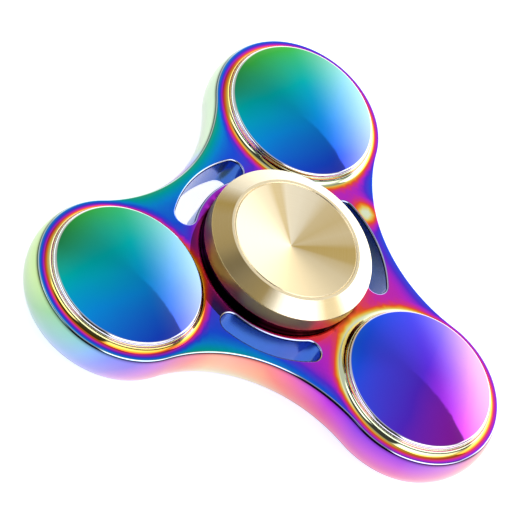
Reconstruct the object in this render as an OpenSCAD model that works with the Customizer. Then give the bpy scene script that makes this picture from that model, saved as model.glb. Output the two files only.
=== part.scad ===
// Three-lobed fidget spinner: a cast rotor with a domed weight pressed through each lobe, turning on a
// shielded ball bearing that two finger caps clamp through its bore.
// Millimetres. The spin axis is Z, and the origin is the centre of the lower finger cap's bead.

/* [Ball bearing] */
// Bore of the bearing's inner ring
bearing_bore_d = 8; // [6:0.5:10]
// Thickness of the inner ring beside its raceway
inner_ring_wall = 2.05; // [1.7:0.05:2.5]
// Thickness of the outer ring beside its raceway
outer_ring_wall = 2; // [1.7:0.05:3]
// Gap between the two rings
ring_gap = 2.95; // [2.6:0.05:3.4]
// Diameter of one ball
ball_d = 3.969; // [3.6:0.001:4.8]
// Rounding of the rings' outside corners
ring_corner_r = 0.3; // [0.1:0.05:0.4]
// Thickness of one pressed cage half
cage_t = 0.3; // [0.2:0.05:0.4]
// Width of the cage's ribbon across the ring gap
cage_w = 1.8; // [1.4:0.05:2.2]
// Diameter of a cage rivet's shank
rivet_d = 0.6; // [0.4:0.05:0.8]
// Diameter of a cage rivet's head
rivet_head_d = 1; // [0.8:0.05:1.1]
// Height of a cage rivet's head
rivet_head_h = 0.25; // [0.15:0.05:0.4]
// Thickness of a shield
shield_t = 0.3; // [0.2:0.05:0.4]
// Depth of a shield's seat into the outer ring
shield_seat = 0.6; // [0.4:0.05:0.8]
// Thickness of the snap ring that holds a shield
clip_t = 0.4; // [0.3:0.05:0.5]
// Width of the snap ring
clip_w = 0.6; // [0.4:0.05:0.8]
// How far the snap ring's groove goes past the shield's seat
clip_groove = 0.15; // [0.1:0.05:0.25]
// How far the snap ring lies below the bearing's face
clip_inset = 0.3; // [0.2:0.05:0.5]
// Opening between the snap ring's ends, in degrees
clip_opening = 34; // [15:1:60]

/* [Rotor] */
// Thickness of the rotor's web
body_t = 5.6; // [4.6:0.1:6.8]
// Wall between the bearing and a lobe's weight
hub_wall = 3.8; // [3.2:0.1:5]
// Wall outside a lobe's weight, at mid-height
lobe_wall = 2.45; // [2.1:0.05:3.5]
// How far the side walls bulge at mid-height
side_bulge = 0.7; // [0.3:0.05:0.9]
// Rounding between the side walls and the flat faces
edge_r = 0.35; // [0.2:0.05:0.5]
// Height of the flared lip round each weight
lip_rise = 0.95; // [0.7:0.05:1.2]
// Flat land on top of the lip
lip_land = 0.1; // [0.05:0.05:0.2]
// Wall round the bearing where it stands above the web
boss_wall = 1.2; // [0.9:0.05:1.4]
// Wall between the bearing and a slot
slot_land = 2.55; // [2.2:0.05:3]
// Width of a slot
slot_w = 3.1; // [2.4:0.1:3.8]
// Angle between the centres of a slot's round ends
slot_angle = 47.8; // [36:0.2:58]
// Wall between a slot and the waist, at mid-height
slot_rim = 2.3; // [1.9:0.05:3]
// Bevel of the slots' edges
slot_bevel = 0.35; // [0.2:0.05:0.5]

/* [Lobe weights] */
// Diameter of a weight
weight_d = 22.4; // [18.7:0.1:27]
// How far a weight's rim stands above the lip
weight_stand = 0.58; // [0.45:0.01:0.8]
// Rounding of a weight's rim
weight_edge_r = 0.45; // [0.3:0.05:0.45]
// Height of a weight's dome above its rim
dome_rise = 0.8; // [0.3:0.05:1.2]

/* [Finger caps] */
// How far a cap reaches past the bearing
cap_overlap = 1.43; // [1.3:0.01:1.8]
// Height of a cap's side wall
cap_wall_h = 2.8; // [2:0.1:4]
// Height of a cap's bevel
cap_bevel_h = 1.35; // [0.8:0.05:2]
// Width of a cap's bevel
cap_bevel_w = 2.5; // [1.5:0.05:3.5]
// Depth of the shallow cone turned into a cap's face for the fingertip
dish_h = 1.7; // [0.8:0.1:2.2]
// Width of the bead round a cap's turned face
bead_w = 0.4; // [0.25:0.05:0.8]
// Width of the groove inside the bead
groove_w = 0.24; // [0.12:0.02:0.4]
// Depth of the groove inside the bead
groove_h = 0.12; // [0.06:0.02:0.2]
// Rounding of a cap's lower corner
cap_corner_r = 0.25; // [0.1:0.05:0.4]
// Outside diameter of the thread that joins the caps
thread_d = 5; // [4:0.1:6]
// Pitch of that thread
thread_pitch = 0.8; // [0.7:0.05:1]
// Depth of that thread
thread_depth = 0.43; // [0.3:0.01:0.5]
// Length of the pilot that centres the upper cap in the bore
pilot_h = 0.5; // [0.3:0.1:1]
// Space left at each end of the threaded stud
stud_end_gap = 0.6; // [0.3:0.1:1]

/* [Clearances] */
// Between a ball and its raceways
race_clear = 0.03; // [0.01:0.01:0.06]
// Between a ball and its cage pocket
pocket_clear = 0.05; // [0.03:0.01:0.1]
// Between the cage and a shield
shield_gap = 0.1655; // [0.1:0.0005:0.3]
// Between a shield's inner edge and the inner ring
shield_bore_gap = 0.35; // [0.2:0.05:0.5]
// Between the snap ring and its groove
clip_clear = 0.02; // [0.01:0.01:0.05]
// Between a rivet's shank and the cage
rivet_clear = 0.02; // [0.01:0.01:0.05]
// Between the caps' stems and the bearing's bore
stem_clear = 0.03; // [0.01:0.01:0.08]
// Between the stud and the threaded sleeve
thread_clear = 0.05; // [0.03:0.01:0.1]
// Between a turning face and the underside of a cap
cap_lift = 0.26; // [0.15:0.01:0.5]

/* [Hidden] */
$fn = 96;
LOBES = 3;
BALLS = 7;
BORE_OVERRUN = 1;       // how far a cutter runs past the face that it cuts
LIP_ROOT = 0.5;         // how deep a lip's solid reaches into the web
LIP_SINK = 0.02;        // how far a lip's flare dips below the web's face, so that the two cross
LOBE_STEPS = 20;        // facets round a lobe
WAIST_STEPS = 8;        // facets along a waist
BULGE_STEPS = 2;        // facets from mid-height to the edge
SKIRT_RISE = 0.1;       // how far the walls run on past the web's faces, which trim them

// Bearing
pitch_r = bearing_bore_d / 2 + inner_ring_wall + ring_gap / 2;
inner_ring_r = bearing_bore_d / 2 + inner_ring_wall;
outer_ring_bore_r = inner_ring_r + ring_gap;
bearing_r = outer_ring_bore_r + outer_ring_wall;
ball_r = ball_d / 2;
pocket_r = ball_r + pocket_clear;
shield_z = pocket_r + cage_t + shield_gap;
clip_z = shield_z + shield_t;
bearing_half = clip_z + clip_t + clip_inset;
seat_r = outer_ring_bore_r + shield_seat;
groove_r = seat_r + clip_groove;
ball_step = 360 / BALLS;

// Rotor
body_half = body_t / 2;
boss_half = max(bearing_half, body_half);
weight_r = weight_d / 2;
lobe_pitch = bearing_r + hub_wall + weight_r;
lobe_r = weight_r + lobe_wall;
slot_r = bearing_r + slot_land + slot_w / 2;
waist = slot_r + slot_w / 2 + slot_rim;
lobe_step = 360 / LOBES;

// A waist's arc touches the two lobes beside it. waist_arc_r is its radius, waist_centre its centre's
// distance from the spin axis, and waist_sweep half the angle that it spans.
lobe_along = lobe_pitch * cos(lobe_step / 2);
lobe_across = lobe_pitch * sin(lobe_step / 2);
waist_gap = waist - lobe_along;
waist_arc_r = (pow(waist_gap, 2) + pow(lobe_across, 2) - pow(lobe_r, 2)) / (2 * (lobe_r - waist_gap));
waist_centre = waist + waist_arc_r;
waist_sweep = atan2(lobe_across, waist_centre - lobe_along);
lobe_sweep = lobe_step / 2 + waist_sweep;

// The side wall's bulge is one arc, side_arc_r in radius, which the edge rounding touches at edge_angle.
side_arc_r = (pow(body_half, 2) + pow(side_bulge, 2)) / (2 * side_bulge);
edge_angle = asin((body_half - edge_r) / (side_arc_r - edge_r));
edge_inset = side_arc_r - (side_arc_r - edge_r) * cos(edge_angle);

// Weights
lip_top = body_half + lip_rise;
rim_top = lip_top + weight_stand;
dome_base_r = weight_r - weight_edge_r;
dome_arc_r = (pow(dome_base_r, 2) + pow(dome_rise, 2)) / (2 * dome_rise);

// Caps
cap_r = bearing_r + cap_overlap;
cap_under = boss_half + cap_lift;
cap_face = cap_under + cap_wall_h + cap_bevel_h;
stem_r = bearing_bore_d / 2 - stem_clear;
cap_seat_r = inner_ring_r - ring_corner_r - shield_bore_gap;
stud_foot = stud_end_gap - bearing_half;
sleeve_top = bearing_half - pilot_h - stud_end_gap / 2;
thread_turns = floor((sleeve_top - stud_foot) / thread_pitch);
thread_top = stud_foot + thread_turns * thread_pitch;

mid_height = cap_face;

// Places what is drawn about the spinner's middle plane in the object's frame.
module at_mid() {
    translate([0, 0, mid_height]) children();
}

// Turns a piece over about the middle plane.
module underside() {
    rotate([180, 0, 0]) children();
}

// Puts copies on the lobes' centres.
module at_lobes() {
    for (i = [0:LOBES - 1]) rotate([0, 0, lobe_angle(i)]) translate([lobe_pitch, 0, 0]) children();
}

function lobe_angle(i) = 90 + i * lobe_step;
function waist_angle(i) = lobe_angle(i) + lobe_step / 2;

// Half section of a ring from r_in to r_out, between z_low and z_high.
module band(r_in, r_out, z_low, z_high) {
    translate([r_in, z_low]) square([r_out - r_in, z_high - z_low]);
}

// A round plate or tube.
module tube(r_in, r_out, z_low, z_high) {
    rotate_extrude() band(r_in, r_out, z_low, z_high);
}

// ---- Rotor ----

// Points on an arc, from one angle up to the next arc's first point.
function arc(centre, radius, from, to, steps) = [
    for (k = [0:steps - 1]) let (a = from + (to - from) * k / steps) centre + radius * [cos(a), sin(a)]
];

function polar(radius, angle) = radius * [cos(angle), sin(angle)];

// The three-lobed outline, inset from its widest: lobes and waists are arcs that touch.
function outline(inset) = [for (i = [0:LOBES - 1]) each concat(
    arc(
        polar(lobe_pitch, lobe_angle(i)), lobe_r - inset,
        lobe_angle(i) - lobe_sweep, lobe_angle(i) + lobe_sweep, LOBE_STEPS
    ),
    arc(
        polar(waist_centre, waist_angle(i)), waist_arc_r + inset,
        waist_angle(i) + 180 + waist_sweep, waist_angle(i) + 180 - waist_sweep, WAIST_STEPS
    )
)];

// The wall's section as [inset, height], from mid-height up: the bulge, the edge, and a skirt that runs on
// past the web's face.
function wall_above() = concat(
    [for (k = [1:BULGE_STEPS]) let (a = edge_angle * k / BULGE_STEPS)
        [side_arc_r * (1 - cos(a)), side_arc_r * sin(a)]],
    [let (a = (edge_angle + 90) / 2) [edge_inset - edge_r * cos(a), body_half - edge_r * (1 - sin(a))]],
    [[edge_inset + 2 * SKIRT_RISE, body_half + SKIRT_RISE]]
);

function wall() = let (up = wall_above(), n = len(up)) concat(
    [for (k = [1:n]) [up[n - k][0], -up[n - k][1]]], [[0, 0]], up
);

// The three-lobed plate: closed walls with a low point at each end, trimmed by the web's flat faces.
module plate() {
    rings = wall();
    around = len(outline(0));
    points = concat(
        [for (ring = rings, p = outline(ring[0])) [p[0], p[1], ring[1]]],
        [[0, 0, -body_t], [0, 0, body_t]]
    );
    top_ring = (len(rings) - 1) * around;
    faces = concat(
        [for (j = [0:len(rings) - 2], i = [0:around - 1]) let (next = (i + 1) % around)
            [j * around + i, (j + 1) * around + i, (j + 1) * around + next, j * around + next]],
        [for (i = [0:around - 1]) [i, (i + 1) % around, len(points) - 2]],
        [for (i = [0:around - 1]) [top_ring + i, len(points) - 1, top_ring + (i + 1) % around]]
    );
    intersection() {
        polyhedron(points, faces);
        tube(0, lobe_pitch + 2 * lobe_r, -body_half, body_half);
    }
}

// The lip that flares up to a weight, on the upper face.
module lip() {
    flare_r = weight_r + lip_land;
    rotate_extrude() difference() {
        band(weight_r - BORE_OVERRUN, flare_r + lip_rise, body_half - LIP_ROOT, lip_top);
        translate([flare_r + lip_rise, lip_top - LIP_SINK]) circle(r = lip_rise);
    }
}

// Section of a slot: straight walls, with both mouths bevelled.
module slot_section() {
    side = slot_w / 2;
    flare = side + slot_bevel + BORE_OVERRUN;
    low = body_half - slot_bevel;
    high = body_half + BORE_OVERRUN;
    polygon([
        [-side, -low], [-flare, -high], [flare, -high], [side, -low],
        [side, low], [flare, high], [-flare, high], [-side, low]
    ]);
}

// Cuts one curved slot, centred on the X axis.
module slot_cutter() {
    rotate([0, 0, -slot_angle / 2]) rotate_extrude(angle = slot_angle) translate([slot_r, 0]) slot_section();
    for (side = [-1, 1]) rotate([0, 0, side * slot_angle / 2]) translate([slot_r, 0, 0]) rotate_extrude()
        intersection() {
            slot_section();
            band(0, 2 * slot_w, -body_t, body_t);
        }
}

module rotor_body() {
    color([0.24, 0.36, 0.82]) at_mid() difference() {
        union() {
            plate();
            at_lobes() {
                lip();
                underside() lip();
            }
            tube(bearing_r - BORE_OVERRUN, bearing_r + boss_wall, -boss_half, boss_half);
        }
        tube(0, bearing_r, -boss_half - BORE_OVERRUN, boss_half + BORE_OVERRUN);
        at_lobes() tube(0, weight_r, -lip_top - BORE_OVERRUN, lip_top + BORE_OVERRUN);
        for (i = [0:LOBES - 1]) rotate([0, 0, waist_angle(i)]) slot_cutter();
    }
}

// ---- Lobe weights ----

// Upper half section of a weight: a straight barrel, a rounded rim and a shallow dome.
module weight_half_section() {
    band(0, weight_r, 0, rim_top - weight_edge_r);
    band(0, dome_base_r, 0, rim_top);
    translate([dome_base_r, rim_top - weight_edge_r]) circle(r = weight_edge_r);
    intersection() {
        translate([0, rim_top + dome_rise - dome_arc_r]) circle(r = dome_arc_r);
        band(0, dome_base_r, 0, rim_top + dome_rise);
    }
}

module lobe_weight(i) {
    color([0.1, 0.62, 0.75]) at_mid() rotate([0, 0, lobe_angle(i - 1)]) translate([lobe_pitch, 0, 0])
        rotate_extrude() {
            weight_half_section();
            mirror([0, 1]) weight_half_section();
        }
}

// ---- Ball bearing ----

// Section of a bearing ring, with the two corners on its bore or on its outside rounded.
module ring_section(r_in, r_out, round_inside) {
    x = round_inside ? r_in + ring_corner_r : r_out - ring_corner_r;
    low = -bearing_half + ring_corner_r;
    band(r_in, r_out, low, -low);
    band(round_inside ? x : r_in, round_inside ? r_out : x, -bearing_half, bearing_half);
    for (z = [low, -low]) translate([x, z]) circle(r = ring_corner_r);
}

module raceway() {
    translate([pitch_r, 0]) circle(r = ball_r + race_clear);
}

module bearing_outer_ring() {
    color([0.72, 0.73, 0.75]) at_mid() rotate_extrude() difference() {
        ring_section(outer_ring_bore_r, bearing_r, false);
        raceway();
        for (side = [0, 1]) mirror([0, side]) {
            band(0, seat_r, shield_z, bearing_half + BORE_OVERRUN);
            band(0, groove_r, clip_z, clip_z + clip_t);
        }
    }
}

module bearing_inner_ring() {
    color([0.72, 0.73, 0.75]) at_mid() rotate_extrude() difference() {
        ring_section(bearing_bore_d / 2, inner_ring_r, true);
        raceway();
    }
}

module shield() {
    color([0.8, 0.8, 0.82]) tube(inner_ring_r + shield_bore_gap, seat_r - clip_clear, shield_z, clip_z);
}

module bearing_shield_top() {
    at_mid() shield();
}

module bearing_shield_bottom() {
    at_mid() underside() shield();
}

// Snap ring: most of a turn, sprung out into its groove.
module shield_clip() {
    clip_r = groove_r - clip_clear;
    color([0.5, 0.51, 0.53]) rotate([0, 0, clip_opening / 2]) rotate_extrude(angle = 360 - clip_opening)
        band(clip_r - clip_w, clip_r, clip_z, clip_z + clip_t);
}

module shield_clip_top() {
    at_mid() shield_clip();
}

module shield_clip_bottom() {
    at_mid() underside() shield_clip();
}

module at_balls() {
    for (i = [0:BALLS - 1]) rotate([0, 0, i * ball_step]) translate([pitch_r, 0, 0]) children();
}

// Places between the balls, where the cage's tabs meet.
module at_tabs() {
    rotate([0, 0, ball_step / 2]) at_balls() children();
}

// Pressed ribbon: flat tabs between domed pockets that reach over the balls.
module cage_half() {
    color([0.6, 0.6, 0.62]) difference() {
        intersection() {
            union() {
                tube(pitch_r - cage_w, pitch_r + cage_w, -cage_t, cage_t);
                at_balls() sphere(r = pocket_r + cage_t);
            }
            tube(pitch_r - cage_w / 2, pitch_r + cage_w / 2, 0, pocket_r + 2 * cage_t);
        }
        at_balls() sphere(r = pocket_r);
        at_tabs() tube(0, rivet_d / 2 + rivet_clear, -cage_t, 2 * cage_t);
    }
}

module cage_half_top() {
    at_mid() cage_half();
}

module cage_half_bottom() {
    at_mid() underside() cage_half();
}

module cage_rivets() {
    color([0.85, 0.85, 0.87]) at_mid() at_tabs() {
        tube(0, rivet_d / 2, -cage_t, cage_t);
        for (side = [0, 1]) mirror([0, 0, side]) tube(0, rivet_head_d / 2, cage_t, cage_t + rivet_head_h);
    }
}

module ball(i) {
    color([0.9, 0.9, 0.92]) at_mid() rotate([0, 0, (i - 1) * ball_step]) translate([pitch_r, 0, 0])
        sphere(r = ball_r);
}

// ---- Finger caps ----

// Half section of a cap's plate: seat, wall, bevel, and a dished face inside a groove and a bead.
module cap_section() {
    face_r = cap_r - cap_bevel_w;
    dish_r = face_r - bead_w - groove_w;
    difference() {
        union() {
            band(0, cap_seat_r, bearing_half, cap_under + cap_corner_r);
            band(0, cap_r - cap_corner_r, cap_under, cap_under + cap_corner_r);
            translate([cap_r - cap_corner_r, cap_under + cap_corner_r]) circle(r = cap_corner_r);
            polygon([
                [0, cap_under + cap_corner_r], [cap_r, cap_under + cap_corner_r],
                [cap_r, cap_under + cap_wall_h], [face_r, cap_face], [0, cap_face]
            ]);
        }
        translate([face_r - bead_w - groove_w / 2, cap_face])
            polygon([[-groove_w, groove_h], [0, -groove_h], [groove_w, groove_h]]);
        polygon([[0, cap_face - dish_h], [dish_r, cap_face], [0, cap_face + dish_h]]);
    }
}

// Section of a threaded rod, as rings of the thread's profile.
module thread_section(extra) {
    crest = thread_d / 2 + extra;
    root = crest - thread_depth;
    polygon(concat(
        [[0, stud_foot]],
        [for (i = [0:thread_turns - 1]) each [
            [root, stud_foot + i * thread_pitch], [crest, stud_foot + (i + 0.5) * thread_pitch]
        ]],
        [[root, thread_top], [0, thread_top]]
    ));
}

module top_cap() {
    color([0.86, 0.76, 0.5]) at_mid() rotate_extrude() {
        cap_section();
        band(0, stem_r, bearing_half - pilot_h, bearing_half);
        band(0, thread_d / 2 - thread_depth, thread_top, bearing_half - pilot_h);
        thread_section(0);
    }
}

module bottom_cap() {
    color([0.86, 0.76, 0.5]) at_mid() underside() rotate_extrude() difference() {
        union() {
            cap_section();
            band(0, stem_r, -sleeve_top, bearing_half);
        }
        mirror([0, 1]) {
            thread_section(thread_clear);
            band(0, thread_d / 2 + thread_clear, stud_foot - stud_end_gap / 2, stud_foot);
            band(0, thread_d / 2 - thread_depth + thread_clear, thread_top, sleeve_top + BORE_OVERRUN);
        }
    }
}

rotor_body();
for (i = [1:LOBES]) lobe_weight(i);
bearing_outer_ring();
bearing_inner_ring();
bearing_shield_top();
bearing_shield_bottom();
shield_clip_top();
shield_clip_bottom();
cage_half_top();
cage_half_bottom();
cage_rivets();
for (i = [1:BALLS]) ball(i);
top_cap();
bottom_cap();
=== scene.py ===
"""A three-lobed hand spinner on a white floor: mirror-bright casting and weights under a rainbow vapour
film, satin gold finger caps with turned faces, and the steel ball bearing between them."""

import math

import bpy
import numpy as np
from mathutils import Matrix, Vector, geometry


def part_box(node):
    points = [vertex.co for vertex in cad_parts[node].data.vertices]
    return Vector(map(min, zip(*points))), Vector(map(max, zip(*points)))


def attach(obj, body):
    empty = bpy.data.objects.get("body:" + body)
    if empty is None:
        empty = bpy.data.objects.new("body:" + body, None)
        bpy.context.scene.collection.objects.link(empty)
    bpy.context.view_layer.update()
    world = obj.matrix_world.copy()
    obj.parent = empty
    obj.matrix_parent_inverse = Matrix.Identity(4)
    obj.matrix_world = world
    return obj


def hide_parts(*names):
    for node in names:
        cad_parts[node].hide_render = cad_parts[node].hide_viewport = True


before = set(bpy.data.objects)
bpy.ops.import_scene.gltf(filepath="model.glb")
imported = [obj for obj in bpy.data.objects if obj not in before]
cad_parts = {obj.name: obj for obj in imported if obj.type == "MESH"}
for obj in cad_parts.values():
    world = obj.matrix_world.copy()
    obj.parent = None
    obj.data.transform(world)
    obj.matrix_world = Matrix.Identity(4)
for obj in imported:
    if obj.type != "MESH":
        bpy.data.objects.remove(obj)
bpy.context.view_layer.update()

MM = 0.001


# ---- Sizes, in millimetres from the spin axis and the spinner's middle plane ----

MIDDLE = np.array([0, 0, sum(corner[2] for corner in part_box("rotor_body")) / 2 / MM])


def reach(node):
    """The lowest and highest corner of a node's box, from the spin axis and the middle plane."""
    low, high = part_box(node)
    return np.array(low) / MM - MIDDLE, np.array(high) / MM - MIDDLE


WEIGHT_R = (reach("lobe_weight_1")[1][0] - reach("lobe_weight_1")[0][0]) / 2
LOBE_PITCH = (reach("lobe_weight_1")[1][1] + reach("lobe_weight_1")[0][1]) / 2
WEIGHT_TOP = reach("lobe_weight_1")[1][2]
BEARING_R = reach("bearing_outer_ring")[1][0]
BEARING_HALF = reach("bearing_outer_ring")[1][2]
INNER_RING_R = reach("bearing_inner_ring")[1][0]
BORE_R = 4.0
LOBE_R = reach("rotor_body")[1][1] - LOBE_PITCH
LIP_TOP = reach("rotor_body")[1][2]
CAP_R = reach("top_cap")[1][0]
CAP_FACE = reach("top_cap")[1][2]

BODY_HALF = 2.8
LIP_RISE = LIP_TOP - BODY_HALF
LIP_LAND = 0.1
LIP_INNER_EDGE_R = 0.03
LIP_OUTER_EDGE_R = 0.065
LIP_BORE_SHOWN = 0.3
SIDE_BULGE = 0.7
EDGE_R = 0.35
BOSS_R = BEARING_R + 1.2
BOSS_EDGE_R = 0.1
SLOT_SIDE = 1.55
SLOT_R = BEARING_R + 2.55 + SLOT_SIDE
SLOT_HALF_ANGLE = math.radians(23.9)
SLOT_EDGE_R = 0.35
WAIST = SLOT_R + SLOT_SIDE + 2.3
WEIGHT_EDGE_R = 0.45
DOME_RISE = 0.8
CAP_UNDER = BEARING_HALF + 0.26
CAP_WALL_TOP = CAP_UNDER + 2.8
BEVEL_W = 2.5
DISH_H = 1.7
BEAD_W = 0.4
GROOVE_W = 0.24
GROOVE_H = 0.12
CAP_CORNER_R = 0.25
DISH_R = CAP_R - BEVEL_W - BEAD_W - GROOVE_W
CENTRE_DOT = 0.06
CAP_SEAT_R = INNER_RING_R - 0.65
STEM_R = BORE_R - 0.03
THREAD_R = 2.5
THREAD_PITCH = 0.8
THREAD_DEPTH = 0.43
THREAD_CLEAR = 0.05
PILOT_H = 0.5
STUD_END_GAP = 0.6
STUD_FOOT = STUD_END_GAP - BEARING_HALF
SLEEVE_TOP = BEARING_HALF - PILOT_H - STUD_END_GAP / 2
THREAD_TURNS = int((SLEEVE_TOP - STUD_FOOT) / THREAD_PITCH + 1e-9)

# AROUND is the number of points round a turned piece. WELD and WELD_SHIFT set the cells in which points
# become one. HAIR is how far past a limit a point still counts as on it.
AROUND = 192
WELD = 2e-4
WELD_SHIFT = 0.371
HAIR = 1e-3

THIRD = 2 * math.pi / 3
LOBE_ANGLES = [math.pi / 2 + i * THIRD for i in range(3)]
WAIST_ANGLES = [angle + THIRD / 2 for angle in LOBE_ANGLES]


def polar(radius, angle):
    """The point at that radius and angle about the spin axis."""
    return np.stack([radius * np.cos(angle), radius * np.sin(angle)], axis=-1)


def turn_between(angle, other):
    """angle - other, brought to between minus and plus half a turn."""
    return (angle - other + math.pi) % (2 * math.pi) - math.pi


LOBES = [polar(LOBE_PITCH, angle) for angle in LOBE_ANGLES]

# A waist's arc touches the lobes beside it: its radius, its centre's distance out and half its span.
waist_gap = WAIST - LOBE_PITCH * math.cos(THIRD / 2)
lobe_across = LOBE_PITCH * math.sin(THIRD / 2)
WAIST_ARC_R = (waist_gap**2 + lobe_across**2 - LOBE_R**2) / (2 * (LOBE_R - waist_gap))
WAIST_CENTRE = WAIST + WAIST_ARC_R
WAIST_SWEEP = math.atan2(lobe_across, WAIST_CENTRE - LOBE_PITCH * math.cos(THIRD / 2))
WAISTS = [polar(WAIST_CENTRE, angle) for angle in WAIST_ANGLES]

# The side wall is one flat arc in section, and the edge rounding touches it at this angle.
SIDE_ARC_R = (BODY_HALF**2 + SIDE_BULGE**2) / (2 * SIDE_BULGE)
EDGE_ANGLE = math.asin((BODY_HALF - EDGE_R) / (SIDE_ARC_R - EDGE_R))
EDGE_INSET = SIDE_ARC_R - (SIDE_ARC_R - EDGE_R) * math.cos(EDGE_ANGLE)


# ---- Surfaces ----


def smoothstep(low, high, value):
    """0 below low, 1 above high, and 3t^2 - 2t^3 between them."""
    t = np.clip((value - low) / (high - low), 0, 1)
    return t * t * (3 - 2 * t)


def arc_rows(centre, radius, start, stop, steps, hollow=False):
    """Section rows on an arc: the point at centre + radius (cos a, sin a) with its outward direction, which
    is (cos a, sin a), or its opposite on a hollow arc."""
    a = np.linspace(start, stop, steps + 1)
    out = np.stack([np.cos(a), np.sin(a)], axis=1)
    return np.hstack([np.array(centre) + radius * out, -out if hollow else out])


def rounded(corners, steps=5):
    """Section rows (offset, height, outward direction) along straight runs between (offset, height, radius)
    corners. A run's outward direction is its own direction turned a quarter left. A corner with a radius
    becomes the arc that touches both runs, and one without keeps both runs' directions."""
    points = np.array([c[:2] for c in corners], float)
    runs = np.diff(points, axis=0)
    along = runs / np.linalg.norm(runs, axis=1)[:, None]
    left = np.stack([-along[:, 1], along[:, 0]], axis=1)
    rows = [np.hstack([points[0], left[0]])[None]]
    for i in range(1, len(points) - 1):
        before, after, radius = left[i - 1], left[i], corners[i][2]
        turn = math.atan2(before[0] * after[1] - before[1] * after[0], before @ after)
        start = points[i] - along[i - 1] * radius * math.tan(abs(turn) / 2)
        bend = -math.copysign(radius, turn)
        a = math.atan2(before[1], before[0]) + np.linspace(0, turn, (steps if radius else 1) + 1)
        out = np.stack([np.cos(a), np.sin(a)], axis=1)
        rows.append(np.hstack([start - bend * before + bend * out, out]))
    rows.append(np.hstack([points[-1], left[-1]])[None])
    return np.vstack(rows)


def sweep(base, outward, rows):
    """A closed band: each section row's point is base + offset * outward at its height, for every point of
    a closed path that keeps outward on its right. Its normal is outward scaled by the row's first direction
    part, with the second as its rise. Returns points, normals and triangles."""
    around, count = len(base), len(rows)
    flat = base[None] + outward[None] * rows[:, None, :1]
    points = np.dstack([flat, np.broadcast_to(rows[:, None, 1:2], (count, around, 1))])
    lean = outward[None] * rows[:, None, 2:3]
    normals = np.dstack([lean, np.broadcast_to(rows[:, None, 3:4], (count, around, 1))])
    v, u = np.meshgrid(np.arange(count - 1), np.arange(around), indexing="ij")
    nxt = (u + 1) % around
    a, b = v * around + u, (v + 1) * around + u
    c, d = (v + 1) * around + nxt, v * around + nxt
    faces = np.stack([a, b, c, a, c, d], axis=-1).reshape(-1, 3)
    return points.reshape(-1, 3), normals.reshape(-1, 3), faces


def circle(steps):
    """Directions evenly round a circle, counter-clockwise."""
    return polar(1.0, np.arange(steps) * 2 * math.pi / steps)


def ring(centre, rows):
    """A section turned about an upright axis through centre."""
    out = circle(AROUND)
    return sweep(np.broadcast_to(np.array(centre, float), out.shape), out, rows)


def stack(patches):
    """Patches put together as one list of points, normals and triangles."""
    first = np.cumsum([0] + [len(p[0]) for p in patches[:-1]])
    points = np.vstack([p[0] for p in patches])
    normals = np.vstack([p[1] for p in patches])
    faces = np.vstack([p[2] + start for p, start in zip(patches, first)])
    return points, normals, faces


def piece(name, shape, paint, body, material, node):
    """Makes the mesh: points in one cell of a grid of WELD become one, triangles that this closes up are
    left out, and each corner keeps its own patch's normal. paint gives each point's named values."""
    points, normals, faces = shape
    marks = paint(points, normals)
    cell = np.floor(points / WELD + WELD_SHIFT).astype(np.int64)
    _, kept, welded = np.unique(cell, axis=0, return_index=True, return_inverse=True)
    welded = welded.reshape(-1)
    tris = welded[faces]
    whole = (tris[:, 0] != tris[:, 1]) & (tris[:, 1] != tris[:, 2]) & (tris[:, 2] != tris[:, 0])
    faces, tris = faces[whole], tris[whole]
    mesh = bpy.data.meshes.new(name)
    mesh.from_pydata(((points[kept] + MIDDLE) * MM).tolist(), [], tris.tolist())
    for label, values in marks.items():
        layer = mesh.attributes.new(label, "FLOAT", "POINT")
        layer.data.foreach_set("value", values[kept].astype(np.float32))
    mesh.polygons.foreach_set("use_smooth", np.ones(len(tris), bool))
    corner_normals = normals[faces.reshape(-1)]
    corner_normals /= np.linalg.norm(corner_normals, axis=1)[:, None]
    mesh.normals_split_custom_set(corner_normals.tolist())
    mesh.materials.append(material)
    obj = bpy.data.objects.new(name, mesh)
    bpy.context.scene.collection.objects.link(obj)
    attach(obj, body)
    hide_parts(node)
    return obj


# ---- Rotor body ----


def outline():
    """The three-lobed outline at its widest and its outward directions, counter-clockwise: each lobe is an
    arc about its own centre, and each waist an arc about a centre outside, which it faces."""
    base, out = [], []
    lobe_sweep = THIRD / 2 + WAIST_SWEEP
    for i in range(3):
        a = LOBE_ANGLES[i] + np.linspace(-lobe_sweep, lobe_sweep, 113)[:-1]
        base.append(LOBES[i] + polar(LOBE_R, a))
        out.append(polar(1.0, a))
        a = WAIST_ANGLES[i] + math.pi + np.linspace(WAIST_SWEEP, -WAIST_SWEEP, 49)[:-1]
        base.append(WAISTS[i] + polar(WAIST_ARC_R, a))
        out.append(-polar(1.0, a))
    return np.vstack(base), np.vstack(out)


def slot_path(middle):
    """A slot's centreline and the directions away from it, counter-clockwise: out along the arc of radius
    SLOT_R, round the end, back along the same arc facing inward, and round the other end."""
    low, high = middle - SLOT_HALF_ANGLE, middle + SLOT_HALF_ANGLE
    run, turn = np.linspace(low, high, 41)[:-1], np.linspace(0, math.pi, 25)[:-1]
    base = [
        polar(SLOT_R, run),
        np.broadcast_to(polar(SLOT_R, high), (len(turn), 2)),
        polar(SLOT_R, low + high - run),
        np.broadcast_to(polar(SLOT_R, low), (len(turn), 2)),
    ]
    out = [polar(1.0, run), polar(1.0, high + turn), -polar(1.0, low + high - run), -polar(1.0, low + turn)]
    return np.vstack(base), np.vstack(out)


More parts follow.
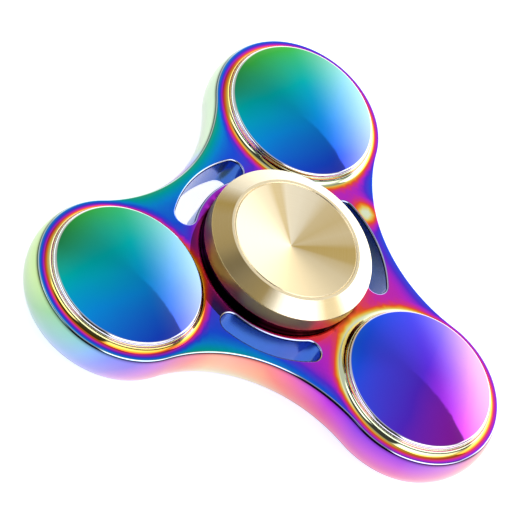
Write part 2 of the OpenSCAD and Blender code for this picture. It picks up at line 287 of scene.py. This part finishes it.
def edge_gap(xy):
    """Distance in from the outline's widest: to the nearest lobe's circle, or to the waist's circle for the
    points of a waist's own third that face its arc."""
    gap = LOBE_R - np.min([np.linalg.norm(xy - c, axis=1) for c in LOBES], axis=0)
    for centre, angle in zip(WAISTS, WAIST_ANGLES):
        away = xy - centre
        facing = np.abs(turn_between(np.arctan2(away[:, 1], away[:, 0]), angle + math.pi)) < WAIST_SWEEP
        own = np.abs(turn_between(np.arctan2(xy[:, 1], xy[:, 0]), angle)) <= THIRD / 2
        gap = np.where(facing & own, np.linalg.norm(away, axis=1) - WAIST_ARC_R, gap)
    return gap


def slot_gap(xy):
    """Distance from the nearest slot's centreline, which is an arc with round ends."""
    best = np.full(len(xy), np.inf)
    angle = np.arctan2(xy[:, 1], xy[:, 0])
    for middle in WAIST_ANGLES:
        off = np.clip(turn_between(angle, middle), -SLOT_HALF_ANGLE, SLOT_HALF_ANGLE)
        nearest = polar(SLOT_R, middle + off)
        best = np.minimum(best, np.linalg.norm(xy - nearest, axis=1))
    return best


def lip_gap(xy):
    """Distance out from the nearest lip's top edge."""
    return np.min([np.linalg.norm(xy - c, axis=1) for c in LOBES], axis=0) - WEIGHT_R - LIP_LAND


# The web's lattice: its extent along X and Y, its spacing, and how far it keeps from every edge.
WEB_X, WEB_Y, WEB_STEP = (-38, 38), (-30, 42), 0.9
WEB_SPARE = 0.3


def web_faces(loops):
    """The web's two flat faces: a Delaunay mesh of the loops' points and an even lattice between them,
    without the triangles outside the outline or inside a lip, a slot or the boss."""
    across, along = np.arange(*WEB_X, WEB_STEP), np.arange(*WEB_Y, WEB_STEP)
    lattice = np.stack(np.meshgrid(across, along), -1).reshape(-1, 2)

    def on_web(xy, spare):
        return (
            (edge_gap(xy) > EDGE_INSET + spare)
            & (lip_gap(xy) > LIP_RISE + spare)
            & (np.linalg.norm(xy, axis=1) > BOSS_R + spare)
            & (slot_gap(xy) > SLOT_SIDE + SLOT_EDGE_R + spare)
        )

    points, edges, first = [], [], 0
    for loop in loops:
        points.append(loop)
        edges += [(first + k, first + (k + 1) % len(loop)) for k in range(len(loop))]
        first += len(loop)
    points = np.vstack(points + [lattice[on_web(lattice, WEB_SPARE)]])
    found = geometry.delaunay_2d_cdt([Vector(p) for p in points], edges, [], 0, 1e-9)
    xy = np.array(found[0])
    faces = np.array(found[2])
    faces = faces[on_web(xy[faces].mean(axis=1), -HAIR)]
    top = np.hstack([xy, np.full((len(xy), 1), BODY_HALF)])
    up = np.broadcast_to([0.0, 0.0, 1.0], top.shape)
    flip = np.array([1, 1, -1])
    return [(top, up, faces), (top * flip, up * flip, faces[:, ::-1])]


def rotor_surface():
    """The casting: bulged side wall, flat web, a flared lip round each weight, bearing boss and slots."""
    wall = np.vstack([
        arc_rows((-EDGE_INSET, BODY_HALF - EDGE_R), EDGE_R, math.pi / 2, EDGE_ANGLE, 7),
        arc_rows((-SIDE_ARC_R, 0), SIDE_ARC_R, EDGE_ANGLE, -EDGE_ANGLE, 20),
        arc_rows((-EDGE_INSET, EDGE_R - BODY_HALF), EDGE_R, -EDGE_ANGLE, -math.pi / 2, 7),
    ])
    flare_r = WEIGHT_R + LIP_LAND + LIP_RISE
    fillet = arc_rows((flare_r, LIP_TOP), LIP_RISE, math.pi, 1.5 * math.pi, 14, hollow=True)
    land = rounded([
        (WEIGHT_R, LIP_TOP - LIP_BORE_SHOWN, 0), (WEIGHT_R, LIP_TOP, LIP_INNER_EDGE_R),
        (WEIGHT_R + LIP_LAND, LIP_TOP, LIP_OUTER_EDGE_R),
        (WEIGHT_R + LIP_LAND, LIP_TOP - LIP_OUTER_EDGE_R - HAIR, 0),
    ])
    upper = np.vstack([land[:-1], fillet[2:]])
    lip = np.vstack([upper[::-1] * [1, -1, 1, -1], upper])
    boss = rounded([
        (BOSS_R, -BODY_HALF, 0),
        (BOSS_R, -BEARING_HALF, BOSS_EDGE_R), (BEARING_R, -BEARING_HALF, BOSS_EDGE_R),
        (BEARING_R, BEARING_HALF, BOSS_EDGE_R), (BOSS_R, BEARING_HALF, BOSS_EDGE_R),
        (BOSS_R, BODY_HALF, 0),
    ])
    mouth = SLOT_SIDE + SLOT_EDGE_R
    slot = rounded([
        (mouth, -BODY_HALF, 0), (SLOT_SIDE, -BODY_HALF, SLOT_EDGE_R),
        (SLOT_SIDE, BODY_HALF, SLOT_EDGE_R), (mouth, BODY_HALF, 0),
    ], 8)
    base, out = outline()
    slots = [slot_path(angle) for angle in WAIST_ANGLES]
    loops = [base - EDGE_INSET * out, BOSS_R * circle(AROUND)]
    loops += [centre + flare_r * circle(AROUND) for centre in LOBES]
    loops += [path + mouth * away for path, away in slots]
    patches = [sweep(base, out, wall), ring((0, 0), boss)]
    patches += [ring(centre, lip) for centre in LOBES]
    patches += [sweep(path, away, slot) for path, away in slots]
    return stack(patches + web_faces(loops))


# ---- Film: where the vapour coating's colour stands in its order, 0 green to 1 cream ----

# Round the side wall: the film's place in its order, and how much a painted reflection of the white floor
# whitens it, at each distance along X.
WALL_FILM = [(-36, -0.08), (-32, 0.08), (-27, 0.22), (-22, 0.44), (-16, 0.6), (-8, 0.84), (0, 0.79),
             (6, 0.64), (14, 0.55), (24, 0.57), (30, 0.64), (36, 0.85)]
WALL_PAINTED_REFLECTION = [(-36, 0.4), (-20, 0.3), (-12, 0.36), (-6, 0.42), (2, 0.25), (10, 0.1), (22, 0.15), (36, 0.5)]
# A painted highlight: round this point the web's film is pushed to cream and white, where a lamp's glint
# stands.
PAINTED_GLINT_SPOT = polar(18.1, math.radians(46.7))

# Each weight's film at its middle, its change across X and along Y, and how strongly a painted highlight
# whitens its +X +Y side.
WEIGHT_FILMS = [(0.17, 0.13, -0.15, 0.3), (0.17, 0.13, -0.12, 0.3), (0.44, 0.13, -0.03, 0.3)]


def fade(distance, spread):
    """1 where distance is 0, falling to either side as e to the power -(distance / spread)^2."""
    return np.exp(-((distance / spread) ** 2))


def rotor_film(points, normals):
    """On the web the film's order rises along X, most in the middle, falls off by the outline, and is
    highest on the lips, near the boss and round one painted highlight spot, where a lamp's glint is painted
    in. Round the side wall it follows WALL_FILM under a painted reflection of the white floor that whitens
    it, set by distance along X, and turns green on the -X side of the +Y lobe. The slots' walls are duller,
    faintly whitened and carry painted shade, more towards +X +Y. The edge roundings carry a painted white
    highlight, with a painted dark reflection band where the side wall's rounding begins. The side wall has a
    little painted shade, and the boss is painted near black as the cap's shadow."""
    x, y, z = points.T
    xy, radius, lean = points[:, :2], np.linalg.norm(points[:, :2], axis=1), np.abs(normals[:, 2])
    rim_gap, mouth_gap = edge_gap(xy), slot_gap(xy)
    on_edge, in_slot = rim_gap < EDGE_INSET + HAIR, mouth_gap < SLOT_SIDE + SLOT_EDGE_R
    web = 0.44 + 0.15 * np.tanh(x / 10)
    web = web + (0.66 - 0.004 * x) * fade(np.clip(lip_gap(xy), 0, None), 1.2)
    web = web - 0.28 * fade(np.clip(rim_gap, 0, None), 2.3)
    web = web + (0.2 - 0.004 * x) * fade(radius - BOSS_R, 2.2)
    # Painted highlight: the glint spot near the +X slot's end.
    web = web + 0.62 * fade(np.linalg.norm(xy - PAINTED_GLINT_SPOT, axis=1), 1.9)
    side = (1 - smoothstep(0.45, 0.75, lean)) * on_edge
    north = smoothstep(8, 16, y) * (1 - smoothstep(-5, 3, x))
    wall = np.interp(x, *zip(*WALL_FILM)) - 0.035 * z
    wall = wall + (-0.04 - wall) * north
    slot = smoothstep(SLOT_SIDE + SLOT_EDGE_R, SLOT_SIDE + 0.1, mouth_gap)
    film = web + (wall - web) * side
    film = film + (0.28 - film) * slot
    # Painted highlight: a white band on the edge roundings and the slots' mouths, at one tilt of the
    # surface.
    bright = smoothstep(0.66, 0.76, lean) * (1 - smoothstep(0.9, 0.98, lean)) * (on_edge | in_slot)
    # Painted reflection: the side wall whitened as if mirroring the white floor, more on the -X side of the
    # +Y lobe.
    painted_sheen = (np.interp(x, *zip(*WALL_PAINTED_REFLECTION)) + 0.25 * north - 0.04 * z) * side
    # Painted reflection: a dark band where the side wall's rounding begins.
    painted_dark_band = smoothstep(0.37, 0.43, lean) * (1 - smoothstep(0.6, 0.68, lean)) * on_edge
    # Painted shadow: the boss under the cap is painted near black.
    boss = (radius < BOSS_R + HAIR) * 0.97
    # Painted shade inside the slots, darker towards +X +Y.
    slot_shade = slot * (0.32 + 0.4 * smoothstep(8, 22, x + y))
    return {
        "film": film,
        # Painted highlights and reflections: the wall's whitening, a faint whitening in the slots and the
        # edge highlight.
        "pale": np.max([painted_sheen, 0.06 * slot, 0.75 * bright], axis=0),
        # Painted shade: a little on the side wall, the dark band on its rounding, the boss's shadow and the
        # slots' shade.
        "shade": np.max([0.22 * side, 0.9 * painted_dark_band, boss, slot_shade * (1 - bright)], axis=0),
        "dull": slot,
    }


def weight_film(i, start, across, along, painted_sheen):
    """The film of one weight: a steady change across it, with a painted highlight whitening its +X +Y side
    and its rim.
    """

    def paint(points, normals):
        spot = (points[:, :2] - LOBES[i]) / WEIGHT_R
        # Painted highlights: a white band on the dome's rounded rim, and whitening towards the +X +Y side.
        rim = 1 - smoothstep(0.93, 0.985, normals[:, 2] * np.sign(points[:, 2] + 1e-9))
        pale = painted_sheen * smoothstep(0.1, 1.2, 0.95 * spot[:, 0] + 0.45 * spot[:, 1])
        film = start + across * spot[:, 0] + along * spot[:, 1]
        return {"film": film, "pale": np.maximum(pale, 0.8 * rim), "dull": 0 * film}

    return paint


# ---- Weights and caps ----


def weight_surface(i):
    """A weight: a barrel whose rim is an arc that runs into the dome's larger arc without a step."""
    edge_centre = WEIGHT_R - WEIGHT_EDGE_R
    edge_z = WEIGHT_TOP - DOME_RISE - WEIGHT_EDGE_R
    height = WEIGHT_TOP - edge_z
    dome_r = (edge_centre**2 + height**2 - WEIGHT_EDGE_R**2) / (2 * (height - WEIGHT_EDGE_R))
    tilt = math.asin(edge_centre / (dome_r - WEIGHT_EDGE_R))
    upper = np.vstack([
        arc_rows((0, WEIGHT_TOP - dome_r), dome_r, math.pi / 2, math.pi / 2 - tilt, 40),
        arc_rows((edge_centre, edge_z), WEIGHT_EDGE_R, math.pi / 2 - tilt, 0, 10),
    ])
    return ring(LOBES[i], np.vstack([upper, upper[::-1] * [1, -1, 1, -1]]))


def cap_plate():
    """A cap's upper and outer section: a face dished as a shallow cone, groove, bead, bevel, wall, and the
    seat underneath."""
    face_r = CAP_R - BEVEL_W
    half = GROOVE_W / 2
    groove = face_r - BEAD_W - half
    centre = CAP_FACE - DISH_H
    return [
        (0, centre, 0), (CENTRE_DOT, centre + DISH_H * CENTRE_DOT / DISH_R, 0),
        (groove - half, CAP_FACE, 0.05), (groove, CAP_FACE - GROOVE_H, 0.05),
        (groove + half, CAP_FACE, 0.06), (face_r, CAP_FACE, 0.1), (CAP_R, CAP_WALL_TOP, 0.12),
        (CAP_R, CAP_UNDER, CAP_CORNER_R), (CAP_SEAT_R, CAP_UNDER, 0.1), (CAP_SEAT_R, BEARING_HALF, 0.1),
        (STEM_R, BEARING_HALF, 0.05),
    ]


def thread(extra, sign):
    """Crests and roots of the thread's rings, from the lowest up, with its height counted along sign."""
    crest = THREAD_R + extra
    rings = [(crest - THREAD_DEPTH, sign * STUD_FOOT, 0)]
    for i in range(THREAD_TURNS):
        rings += [(crest, sign * (STUD_FOOT + (i + 0.5) * THREAD_PITCH), 0.05),
                  (crest - THREAD_DEPTH, sign * (STUD_FOOT + (i + 1) * THREAD_PITCH), 0.05)]
    return rings


def top_cap_surface():
    """The upper cap with its pilot and threaded stud, turned about the spin axis."""
    foot = BEARING_HALF - PILOT_H
    root = THREAD_R - THREAD_DEPTH
    stud = [(STEM_R, foot, 0.1), (root, foot, 0)] + thread(0, 1)[::-1][:-1]
    stud += [(root, STUD_FOOT, 0.1), (0, STUD_FOOT, 0)]
    return ring((0, 0), rounded(cap_plate() + stud))


def bottom_cap_surface():
    """The lower cap with its threaded sleeve, turned as if it were the upper one and then turned over."""
    root = THREAD_R - THREAD_DEPTH + THREAD_CLEAR
    floor = STUD_END_GAP / 2 - STUD_FOOT
    bore = [(STEM_R, -SLEEVE_TOP, 0.1), (root, -SLEEVE_TOP, 0.05)] + thread(THREAD_CLEAR, -1)[::-1]
    bore += [(THREAD_R + THREAD_CLEAR, -STUD_FOOT, 0), (THREAD_R + THREAD_CLEAR, floor, 0), (0, floor, 0)]
    points, normals, faces = ring((0, 0), rounded(cap_plate() + bore))
    turned = np.array([1, -1, -1])
    return points * turned, normals * turned, faces


# The turned face's tone and the bevel's, from 0 dark gold to 1 light gold, at each angle round the axis in
# degrees: painted highlights of the turned sectors, fixed on the cap.
FACE_PAINTED_SHEEN = [(-180, 0.62), (-130, 0.55), (-90, 0.45), (-60, 0.5), (-25, 0.5), (-8, 0.3), (-3, 0.08), (12, 0.05),
       (19, 0.3), (30, 0.4), (45, 0.25), (62, 0.35), (74, 0.75), (90, 0.85), (107, 0.8), (112, 0.35),
       (120, 0.3), (127, 0.62), (150, 0.66), (180, 0.62)]
BEVEL_PAINTED_SHEEN = [(-180, 0.15), (-157, 0.12), (-131, 0.25), (-109, 0.1), (-103, 0.6), (-96, 1), (-70, 1),
             (-58, 0.35), (-48, 0.35), (-38, 1), (60, 1), (96, 0.85), (150, 0.8), (160, 0.3), (168, 0),
             (180, 0.15)]
BEAD_TONE, WALL_TONE = 0.6, 0.1


def cap_marks(points, normals):
    """A cap's marks: satin is 1 on the turned face, 2 on the side wall and 0 elsewhere, and the tone is the
    painted highlight of the turned sectors, which follows the face's table on the face and the bevel's table
    on the bevel, and is even on the rest."""
    radius, height = np.linalg.norm(points[:, :2], axis=1), np.abs(points[:, 2])
    angle, lean = np.degrees(np.arctan2(points[:, 1], points[:, 0])), np.abs(normals[:, 2])
    outer = radius > CAP_R - BEVEL_W
    face = (radius < DISH_R) & (height > CAP_FACE - DISH_H - 0.1)
    bevel = outer & (lean > 0.5) & (height > CAP_WALL_TOP - 0.1)
    wall = (lean < 0.3) & (radius > CAP_R - 0.5)
    tone = np.where(bevel, np.interp(angle, *zip(*BEVEL_PAINTED_SHEEN)), np.where(outer, WALL_TONE, BEAD_TONE))
    return {"satin": face + 2.0 * wall, "fan": np.where(face, np.interp(angle, *zip(*FACE_PAINTED_SHEEN)), tone)}


# ---- Materials ----


class Wire:
    """A node's output socket, with arithmetic that adds Math nodes to its board."""

    def __init__(self, board, socket):
        self.board, self.socket = board, socket

    def math(self, operation, *others):
        return self.board.add("ShaderNodeMath", dict(operation=operation), self, *others)

    def __add__(self, other):
        return self.math("ADD", other)

    def __sub__(self, other):
        return self.math("SUBTRACT", other)

    def __rsub__(self, other):
        return self.board.add("ShaderNodeMath", dict(operation="SUBTRACT"), other, self)

    def __mul__(self, other):
        return self.math("MULTIPLY", other)

    def __truediv__(self, other):
        return self.math("DIVIDE", other)

    __radd__, __rmul__ = __add__, __mul__

    def step(self, low, high):
        """Smoothly from 0 at low to 1 at high."""
        return self.board.add(
            "ShaderNodeMapRange", dict(interpolation_type="SMOOTHSTEP"), self, low, high, 0.0, 1.0
        )

    def clip(self, low, high):
        """Held between low and high."""
        return self.math("MAXIMUM", low).math("MINIMUM", high)


class Board:
    """A node tree being wired: add() makes any node from its type, settings and socket values."""

    def __init__(self, tree):
        self.tree = tree
        tree.nodes.clear()

    def add(self, kind, settings=None, *values, out=0, **named):
        """A node with settings, then its inputs in order (None leaves one) or by name. Returns an output."""
        node = self.tree.nodes.new(kind)
        for key, value in (settings or {}).items():
            if key == "stops":
                ramp = node.color_ramp
                ramp.elements.remove(ramp.elements[1])
                for k, (place, colour) in enumerate(value):
                    stop = ramp.elements[0] if k == 0 else ramp.elements.new(place)
                    stop.position = place
                    stop.color = (*colour, 1.0)
            else:
                setattr(node, key, value)
        sockets = list(zip(node.inputs, values))
        sockets += [(node.inputs[key.replace("_", " ")], value) for key, value in named.items()]
        for socket, value in sockets:
            if isinstance(value, Wire):
                self.tree.links.new(value.socket, socket)
            elif value is not None:
                socket.default_value = value
        return Wire(self, node.outputs[out]) if len(node.outputs) else node

    def mix(self, factor, a, b):
        """Colour a where factor is 0 and b where it is 1. The node's colours are its inputs 6 and 7."""
        unused = [None] * 5
        return self.add("ShaderNodeMix", dict(data_type="RGBA"), factor, *unused, a, b, out=2)

    def place(self):
        """Object coordinates, in millimetres."""
        at = self.add("ShaderNodeTexCoord", out="Object")
        return self.add("ShaderNodeMapping", None, at, None, None, (1 / MM, 1 / MM, 1 / MM))

    def value(self, name):
        """A mesh's own value of that name."""
        return self.add("ShaderNodeAttribute", dict(attribute_name=name), out="Fac")

    def noise(self, at, scale, detail=3.0, rough=0.5):
        """Smooth noise from 0 to 1, with about scale cells to the millimetre."""
        return self.add("ShaderNodeTexNoise", None, at, None, scale, detail, rough)


def srgb(*channels):
    """A colour given as it looks on screen, as linear light: c / 12.92 up to 0.04045, and above it
    ((c + 0.055) / 1.055) to the power 2.4."""
    return tuple(c / 12.92 if c <= 0.04045 else ((c + 0.055) / 1.055) ** 2.4 for c in channels)


def surface(name, build):
    """A material whose Principled shader takes the sockets that build returns."""
    material = bpy.data.materials.new(name)
    material.use_nodes = True
    board = Board(material.node_tree)
    shader = board.add("ShaderNodeBsdfPrincipled", None, **build(board))
    board.add("ShaderNodeOutputMaterial", None, shader)
    return material


# The film's colour at each place in its order, and the order's two ends.
FILM_START, FILM_STOP = -0.15, 1.05
FILM_ORDER = [
    (-0.12, srgb(0.60, 0.80, 0.25)),
    (0.00, srgb(0.22, 0.68, 0.28)),
    (0.11, srgb(0.00, 0.66, 0.66)),
    (0.22, srgb(0.05, 0.55, 0.88)),
    (0.33, srgb(0.12, 0.32, 0.90)),
    (0.44, srgb(0.36, 0.18, 0.85)),
    (0.54, srgb(0.72, 0.16, 0.80)),
    (0.63, srgb(0.86, 0.20, 0.55)),
    (0.72, srgb(0.93, 0.30, 0.20)),
    (0.81, srgb(0.96, 0.58, 0.16)),
    (0.90, srgb(0.93, 0.84, 0.40)),
    (1.00, srgb(0.90, 0.94, 0.80)),
]
# The white that painted highlights and reflections mix into the film, and the black that painted shade mixes
# in.
PAINTED_HIGHLIGHT_WHITE = (0.96, 0.95, 0.97, 1.0)
BLACK = (0.0, 0.0, 0.0, 1.0)
# The gold's dark and light ends, between which the cap's painted highlights of the turned sectors run.
GOLD_DEEP = (*srgb(0.80, 0.68, 0.38), 1.0)
GOLD_PALE = (*srgb(0.99, 0.95, 0.85), 1.0)


def rainbow(board):
    """Mirror-bright metal under the vapour film: the film's order sets the tint, faint clouds in its
    thickness shift it, painted highlights and reflections whiten it, painted shade darkens it, and polishing
    haze varies the gloss."""
    at = board.place()
    cloud = board.noise(at, 0.11, 2.0) - 0.5
    order = board.value("film") + cloud * 0.05
    share = (order - FILM_START) / (FILM_STOP - FILM_START)
    stops = [((p - FILM_START) / (FILM_STOP - FILM_START), c) for p, c in FILM_ORDER]
    tint = board.add("ShaderNodeValToRGB", dict(stops=stops), share)
    # Painted highlights and reflections whiten the tint, and below, painted shade darkens it to black.
    highlighted_tint = board.mix(board.value("pale"), tint, PAINTED_HIGHLIGHT_WHITE)
    haze = board.noise(at, 0.6, 4.0)
    wave = board.noise(at, 0.35, 2.0)
    return dict(
        Base_Color=board.mix(board.value("shade"), highlighted_tint, BLACK),
        Metallic=1.0,
        Roughness=haze * 0.03 + 0.012 + board.value("dull") * 0.2,
        Normal=board.add("ShaderNodeBump", None, Strength=0.03, Distance=0.0002, Height=wave),
    )


def anodised(board):
    """Champagne anodising: its tone round the axis, which is painted highlights of the turned sectors, the
    turning tool's rings in tone, gloss and height, and a satin that is duller on the face and dullest on the
    side wall."""
    at = board.place()
    flat = board.add("ShaderNodeVectorMath", dict(operation="MULTIPLY"), at, (1, 1, 0))
    radius = board.add("ShaderNodeVectorMath", dict(operation="LENGTH"), flat, out="Value")
    rings = board.add("ShaderNodeTexNoise", dict(noise_dimensions="1D"), None, radius, 7.0, 4.0, 0.6)
    face = board.value("satin")
    # Painted highlights of the turned sectors, with the turning rings' own tone on them.
    tone = board.value("fan") + (rings - 0.5) * 0.15
    return dict(
        Base_Color=board.mix(tone.clip(0, 1), GOLD_DEEP, GOLD_PALE),
        Metallic=1.0,
        Roughness=face * 0.12 + rings * 0.04 + 0.2,
        Anisotropic=0.6,
        Normal=board.add("ShaderNodeBump", None, Strength=0.05, Distance=0.00001, Height=rings),
    )


def steel(colour, gloss, scratch):
    """Bare steel of one tint, with fine scratches at that many to the millimetre."""

    def build(board):
        at = board.place()
        marks = board.noise(at, scratch, 5.0, 0.65)
        return dict(
            Base_Color=board.mix(marks, (*[c * 0.88 for c in colour], 1), (*colour, 1)),
            Metallic=1.0,
            Roughness=marks * 0.12 + gloss,
            Normal=board.add("ShaderNodeBump", None, Strength=0.1, Distance=0.00001, Height=marks),
        )

    return build


def floor_paper(board):
    """White paper with a faint fibre tone, lit a little from within so that it stays white."""
    fibre = board.noise(board.place(), 0.4, 3.0)
    return dict(
        Base_Color=board.mix(fibre, (0.93, 0.93, 0.93, 1), (0.96, 0.96, 0.96, 1)),
        Roughness=0.9,
        Emission_Color=(1.0, 1.0, 1.0, 1.0),
        Emission_Strength=0.7,
    )


# ---- Studio ----

VIEW_FROM = Vector((-0.1859, -0.3914, 0.4978))
VIEW_HEADING = math.radians(64.983)
VIEW_DROP = math.radians(48.521)
VIEW_ROLL = math.radians(39.179)
VIEW_LENS = 324.5
FILM_WIDTH = 36
VIEW_END = 50


def add_camera():
    """A long lens looking down at the spinner from one side, with its horizon tilted."""
    camera = bpy.data.objects.new("camera", bpy.data.cameras.new("camera"))
    turn = Matrix.Rotation(VIEW_HEADING - math.pi / 2, 4, "Z")
    drop = Matrix.Rotation(math.pi / 2 - VIEW_DROP, 4, "X")
    roll = Matrix.Rotation(VIEW_ROLL, 4, "Z")
    camera.matrix_world = Matrix.Translation(VIEW_FROM) @ turn @ drop @ roll
    camera.data.lens = VIEW_LENS
    camera.data.sensor_width = FILM_WIDTH
    camera.data.clip_end = VIEW_END
    bpy.context.scene.collection.objects.link(camera)
    bpy.context.scene.camera = camera


FLOOR_R = 3.0
FLOOR_STEPS = 96
FLOOR_DROP = 0.00002


def add_floor():
    """A white disc, a fine step under the lower cap's bead."""
    mesh = bpy.data.meshes.new("floor")
    rim = [(x, y, -FLOOR_DROP) for x, y in circle(FLOOR_STEPS) * FLOOR_R]
    mesh.from_pydata(rim, [], [list(range(FLOOR_STEPS))])
    mesh.materials.append(surface("floor_paper", floor_paper))
    floor = bpy.data.objects.new("floor", mesh)
    bpy.context.scene.collection.objects.link(floor)


# Where the middle of the panels ahead lies in the sky, and their half-width, as parts of a unit direction.
PANEL_X, PANEL_Y, PANEL_HALF = 0.28, 0.6, 0.217


def add_sky():
    """The studio as light by direction. Ahead of the camera a wide panel brightens to +X, ending along a
    curved lower edge over a dimmer panel; overhead is dim; behind the camera two soft boxes stand either
    side of a dark gap, over a dark band along the floor."""
    world = bpy.data.worlds.new("studio")
    bpy.context.scene.world = world
    world.use_nodes = True
    board = Board(world.node_tree)
    way = board.add("ShaderNodeTexCoord", out="Generated")
    split = board.add("ShaderNodeSeparateXYZ", None, way).socket.node
    x, y, z = (Wire(board, split.outputs[k]) for k in range(3))
    across, along = (x - PANEL_X) / PANEL_HALF, (y - PANEL_Y) / PANEL_HALF
    edge = across * -0.45 - across * across * 0.4 - 0.06
    soft = (across * -0.7).clip(0, 0.6) + 0.03
    right = across.clip(0, 1.2)
    above = across * 0.45 + along.clip(0, 2) * 0.65 + along.clip(-2, 0) * 0.2 + right * right * 1.1 + 0.8
    far_left = (across * -1.0 - 1.5).clip(0, 1)
    below = (across * -0.28 + 0.68).clip(0.3, 1.0)
    panel = ((along - edge) / soft).step(-1, 1)
    ahead = below + (above.clip(0.3, 2.4) + far_left * 0.3 - below) * panel
    overhead = z.step(0.88, 1.0) * 0.5
    right_box = z.step(0.1, 0.6) * (1 - z.step(0.9, 0.95)) * x.step(0.02, 0.16)
    left_box = z.step(0.3, 0.4) * (1 - z.step(0.66, 0.72)) * (1 - x.step(-0.62, -0.5))
    behind = overhead + right_box * (2.2 - y.step(-0.2, -0.06) * 1.4) + left_box * 1.8 + 0.05
    light = behind + (ahead - behind) * y.step(0.0, 0.22)
    seen = board.add("ShaderNodeLightPath", out="Is Camera Ray")
    colour = board.add("ShaderNodeBackground", None, (1, 1, 1, 1), light + (0.95 - light) * seen)
    board.add("ShaderNodeOutputWorld", None, colour)


# ---- Assembly ----

film_metal = surface("rainbow_film", rainbow)
gold = surface("champagne_anodising", anodised)

piece("spinner_body", rotor_surface(), rotor_film, "rotor", film_metal, "rotor_body")
for i, values in enumerate(WEIGHT_FILMS):
    piece(f"weight_{i + 1}", weight_surface(i), weight_film(i, *values), "rotor",
          film_metal, f"lobe_weight_{i + 1}")
piece("upper_finger_cap", top_cap_surface(), cap_marks, "finger_hub", gold, "top_cap")
piece("lower_finger_cap", bottom_cap_surface(), cap_marks, "finger_hub", gold, "bottom_cap")

# The bearing's finishes, each for the nodes whose names start with its key; the longest key holds.
FINISHES = {
    "bearing_": surface("bearing_steel", steel((0.62, 0.63, 0.65), 0.12, 4)),
    "bearing_shield": surface("shield_steel", steel((0.55, 0.56, 0.58), 0.3, 6)),
    "shield_clip": surface("spring_steel", steel((0.25, 0.26, 0.3), 0.3, 8)),
    "cage_half": surface("cage_steel", steel((0.5, 0.48, 0.44), 0.32, 5)),
    "cage_rivets": surface("rivet_steel", steel((0.55, 0.55, 0.56), 0.25, 9)),
    "ball_": surface("ball_steel", steel((0.75, 0.76, 0.78), 0.04, 2)),
}
for node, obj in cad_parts.items():
    start = max((k for k in FINISHES if node.startswith(k)), key=len, default=None)
    if start:
        obj.data.materials.clear()
        obj.data.materials.append(FINISHES[start])

add_floor()
add_sky()
add_camera()
bpy.context.scene.view_settings.view_transform = "Standard"
